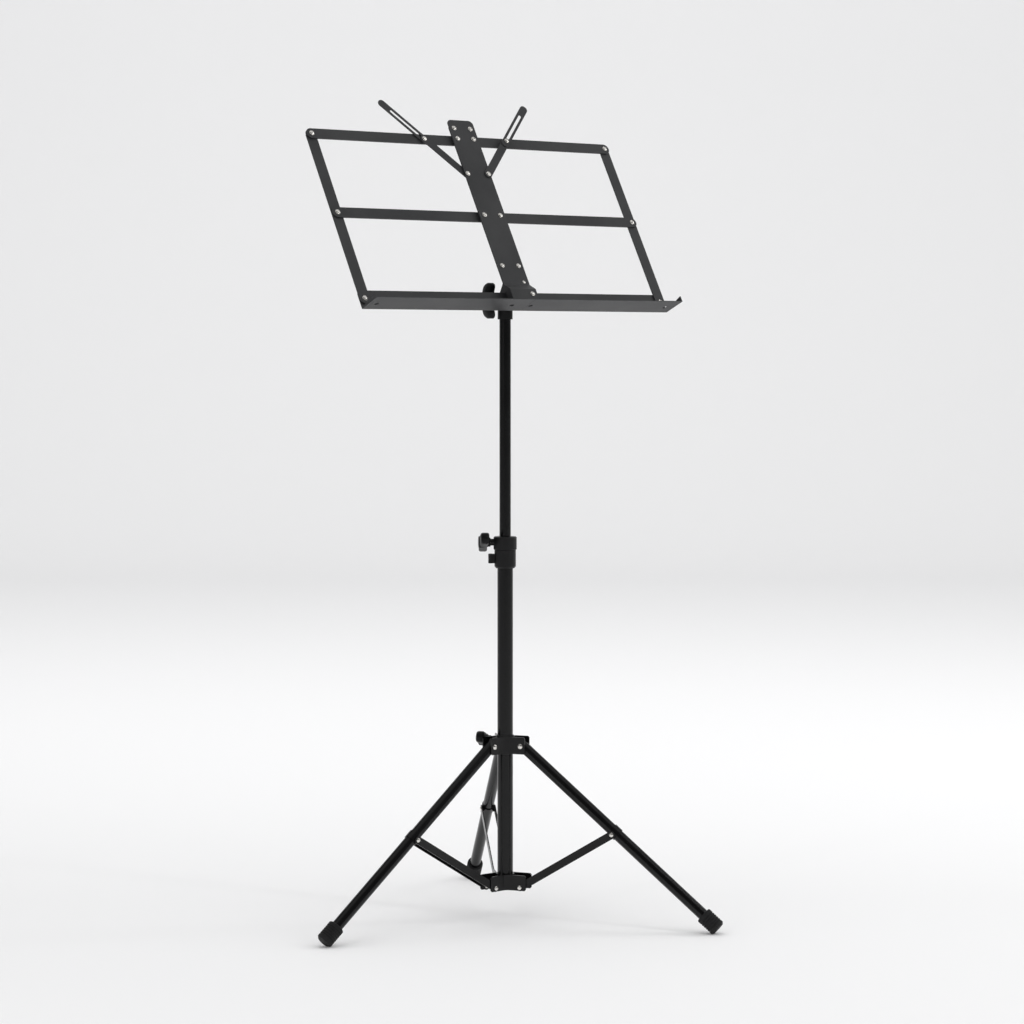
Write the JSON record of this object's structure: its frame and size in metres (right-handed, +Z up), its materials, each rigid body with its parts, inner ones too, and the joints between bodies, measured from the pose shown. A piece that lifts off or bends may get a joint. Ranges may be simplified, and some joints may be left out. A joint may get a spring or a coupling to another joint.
{
  "type": "music stand",
  "caption": "Folding music stand: a telescopic pole on a sliding-collar tripod carries a tilting desk of flat pivoted bars with a ledge and swinging page holders.",
  "frame": {"origin": "on the axis of the vertical pole, at floor level under the foot caps", "axes": "+Z up along the pole; the desk faces -Y, so the reader sits on the -Y side; +X to the reader's right, along the desk's bars"},
  "size_m": [0.5814, 0.5573, 1.1563],
  "materials": {
    "tube_black": "gloss",
    "desk_black": "satin",
    "collar_black": "satin",
    "knob_black": "satin",
    "rubber_black": "matte",
    "nickel": "polished",
    "bush_plastic": "matte"
  },
  "bodies": {
    "base": {"lower_tube": "tube_black", "tube_end_plug": "collar_black", "hub_bracket": "tube_black", "collar_shell": "collar_black", "collar_ring": "collar_black"},
    "slide": {"slide_bracket": "tube_black", "slide_bush": "bush_plastic", "leg_hinge_rivets": "nickel"},
    "tripod_knob": {"tripod_knob": "knob_black", "tripod_knob_screw": "nickel"},
    "height_knob": {"height_knob": "knob_black", "height_knob_screw": "nickel"},
    "mast": {"upper_tube": "tube_black", "upper_tube_bush": "bush_plastic"},
    "head": {"swivel_head": "collar_black"},
    "desk": {"centre_plate": "desk_black", "tilt_bracket": "desk_black", "tilt_bolt": "nickel", "plate_rivets": "nickel", "bar_pivot_rivets": "nickel", "page_pivot_rivets": "nickel"},
    "tilt_knob": {"tilt_knob": "knob_black"},
    "leg_front": {"leg_tube_front": "tube_black", "foot_cap_front": "rubber_black", "leg_clip_front": "tube_black", "leg_clip_pin_front": "nickel"},
    "brace_front": {"brace_pair_front": "tube_black", "brace_rivets_front": "nickel"},
    "leg_left": {"leg_tube_left": "tube_black", "foot_cap_left": "rubber_black", "leg_clip_left": "tube_black", "leg_clip_pin_left": "nickel"},
    "brace_left": {"brace_pair_left": "tube_black", "brace_rivets_left": "nickel"},
    "leg_rear": {"leg_tube_rear": "tube_black", "foot_cap_rear": "rubber_black", "leg_clip_rear": "tube_black", "leg_clip_pin_rear": "nickel"},
    "brace_rear": {"brace_pair_rear": "tube_black", "brace_rivets_rear": "nickel"},
    "top_bar_left": {"top_bar_left": "desk_black"},
    "middle_bar_left": {"middle_bar_left": "desk_black"},
    "strut_left": {"side_strut_left": "desk_black", "strut_rivets_left": "nickel"},
    "tray_left": {"tray_half_left": "desk_black"},
    "page_arm_left": {"page_arm_left": "desk_black", "page_stud_left": "nickel"},
    "page_finger_left": {"page_finger_left": "desk_black"},
    "top_bar_right": {"top_bar_right": "desk_black"},
    "middle_bar_right": {"middle_bar_right": "desk_black"},
    "strut_right": {"side_strut_right": "desk_black", "strut_rivets_right": "nickel"},
    "tray_right": {"tray_half_right": "desk_black"},
    "page_arm_right": {"page_arm_right": "desk_black", "page_stud_right": "nickel"},
    "page_finger_right": {"page_finger_right": "desk_black"}
  },
  "joints": [
    {"name": "tripod_slide", "type": "slide", "parent": "base", "child": "slide", "axis": [0, 0, 1], "range_m": [0, 0.13856]},
    {"name": "tripod_knob_turn", "type": "hinge", "parent": "slide", "child": "tripod_knob", "pos_m": [0, 0, 0.2525], "axis": [-0.5446, 0.8387, 0], "range_deg": [0, 270]},
    {"name": "height_knob_turn", "type": "hinge", "parent": "base", "child": "height_knob", "pos_m": [0, 0, 0.533], "axis": [-0.866, 0.5, 0], "range_deg": [0, 270]},
    {"name": "mast_height", "type": "slide", "parent": "base", "child": "mast", "axis": [0, 0, 1], "range_m": [-0.27, 0.05]},
    {"name": "head_swivel", "type": "hinge", "parent": "mast", "child": "head", "pos_m": [0, 0, 0.85], "axis": [0, 0, 1], "range_deg": [-180, 180]},
    {"name": "desk_tilt", "type": "hinge", "parent": "head", "child": "desk", "pos_m": [0, 0.003, 0.8708], "axis": [-1, 0, 0], "range_deg": [-25, 55]},
    {"name": "tilt_knob_turn", "type": "hinge", "parent": "desk", "child": "tilt_knob", "pos_m": [0, 0.003, 0.8708], "axis": [-1, 0, 0], "range_deg": [0, 270]},
    {"name": "leg_hinge_front", "type": "hinge", "parent": "slide", "child": "leg_front", "pos_m": [0.01416, -0.02181, 0.2465], "axis": [0.8387, 0.5446, 0], "range_deg": [0, 50.3]},
    {"name": "brace_hinge_front", "type": "hinge", "parent": "base", "child": "brace_front", "pos_m": [0.01416, -0.02181, 0.047], "axis": [-0.8387, -0.5446, 0], "range_deg": [0, 59.7]},
    {"name": "leg_hinge_left", "type": "hinge", "parent": "slide", "child": "leg_left", "pos_m": [-0.02596, -0.00136, 0.2465], "axis": [0.0523, -0.9986, 0], "range_deg": [0, 50.3]},
    {"name": "brace_hinge_left", "type": "hinge", "parent": "base", "child": "brace_left", "pos_m": [-0.02596, -0.00136, 0.047], "axis": [-0.0523, 0.9986, 0], "range_deg": [0, 59.7]},
    {"name": "leg_hinge_rear", "type": "hinge", "parent": "slide", "child": "leg_rear", "pos_m": [0.0118, 0.02317, 0.2465], "axis": [-0.891, 0.454, 0], "range_deg": [0, 50.3]},
    {"name": "brace_hinge_rear", "type": "hinge", "parent": "base", "child": "brace_rear", "pos_m": [0.0118, 0.02317, 0.047], "axis": [0.891, -0.454, 0], "range_deg": [0, 59.7]},
    {"name": "fold_left", "type": "hinge", "parent": "desk", "child": "middle_bar_left", "pos_m": [-0.0137, 0.03623, 0.98789], "axis": [0, 0.8607, -0.509], "range_deg": [0, 78]},
    {"name": "top_bar_hinge_left", "type": "hinge", "parent": "desk", "child": "top_bar_left", "pos_m": [-0.0137, 0.10144, 1.09815], "axis": [0, 0.8607, -0.509], "range_deg": [0, 78]},
    {"name": "tray_hinge_left", "type": "hinge", "parent": "desk", "child": "tray_left", "pos_m": [-0.0137, -0.02872, 0.86981], "axis": [0, 0.8607, -0.509], "range_deg": [0, 78]},
    {"name": "strut_hinge_left", "type": "hinge", "parent": "middle_bar_left", "child": "strut_left", "pos_m": [-0.254, 0.03778, 0.98697], "axis": [0, 0.8607, -0.509], "range_deg": [-78, 0]},
    {"name": "page_arm_hinge_left", "type": "hinge", "parent": "desk", "child": "page_arm_left", "pos_m": [-0.0175, 0.0679, 1.04909], "axis": [0, 0.8607, -0.509], "range_deg": [-8, 33]},
    {"name": "page_finger_slide_left", "type": "slide", "parent": "page_arm_left", "child": "page_finger_left", "axis": [0.6691, -0.3783, -0.6397], "range_m": [0, 0.048]},
    {"name": "fold_right", "type": "hinge", "parent": "desk", "child": "middle_bar_right", "pos_m": [0.0137, 0.03623, 0.98789], "axis": [0, -0.8607, 0.509], "range_deg": [0, 78]},
    {"name": "top_bar_hinge_right", "type": "hinge", "parent": "desk", "child": "top_bar_right", "pos_m": [0.0137, 0.10144, 1.09815], "axis": [0, -0.8607, 0.509], "range_deg": [0, 78]},
    {"name": "tray_hinge_right", "type": "hinge", "parent": "desk", "child": "tray_right", "pos_m": [0.0137, -0.02872, 0.86981], "axis": [0, -0.8607, 0.509], "range_deg": [0, 78]},
    {"name": "strut_hinge_right", "type": "hinge", "parent": "middle_bar_right", "child": "strut_right", "pos_m": [0.254, 0.03778, 0.98697], "axis": [0, -0.8607, 0.509], "range_deg": [-78, 0]},
    {"name": "page_arm_hinge_right", "type": "hinge", "parent": "desk", "child": "page_arm_right", "pos_m": [0.0175, 0.06437, 1.05118], "axis": [0, -0.8607, 0.509], "range_deg": [-8, 33]},
    {"name": "page_finger_slide_right", "type": "slide", "parent": "page_arm_right", "child": "page_finger_right", "axis": [-0.6691, -0.3783, -0.6397], "range_m": [0, 0.048]}
  ],
  "couplings": [
    {"joint": "leg_hinge_front", "follows": "tripod_slide", "rad_per_m": 6.3361},
    {"joint": "brace_hinge_front", "follows": "tripod_slide", "rad_per_m": 7.5194},
    {"joint": "leg_hinge_left", "follows": "tripod_slide", "rad_per_m": 6.3361},
    {"joint": "brace_hinge_left", "follows": "tripod_slide", "rad_per_m": 7.5194},
    {"joint": "leg_hinge_rear", "follows": "tripod_slide", "rad_per_m": 6.3361},
    {"joint": "brace_hinge_rear", "follows": "tripod_slide", "rad_per_m": 7.5194},
    {"joint": "top_bar_hinge_left", "follows": "fold_left", "ratio": 1},
    {"joint": "tray_hinge_left", "follows": "fold_left", "ratio": 1},
    {"joint": "strut_hinge_left", "follows": "fold_left", "ratio": -1},
    {"joint": "top_bar_hinge_right", "follows": "fold_right", "ratio": 1},
    {"joint": "tray_hinge_right", "follows": "fold_right", "ratio": 1},
    {"joint": "strut_hinge_right", "follows": "fold_right", "ratio": -1}
  ]
}
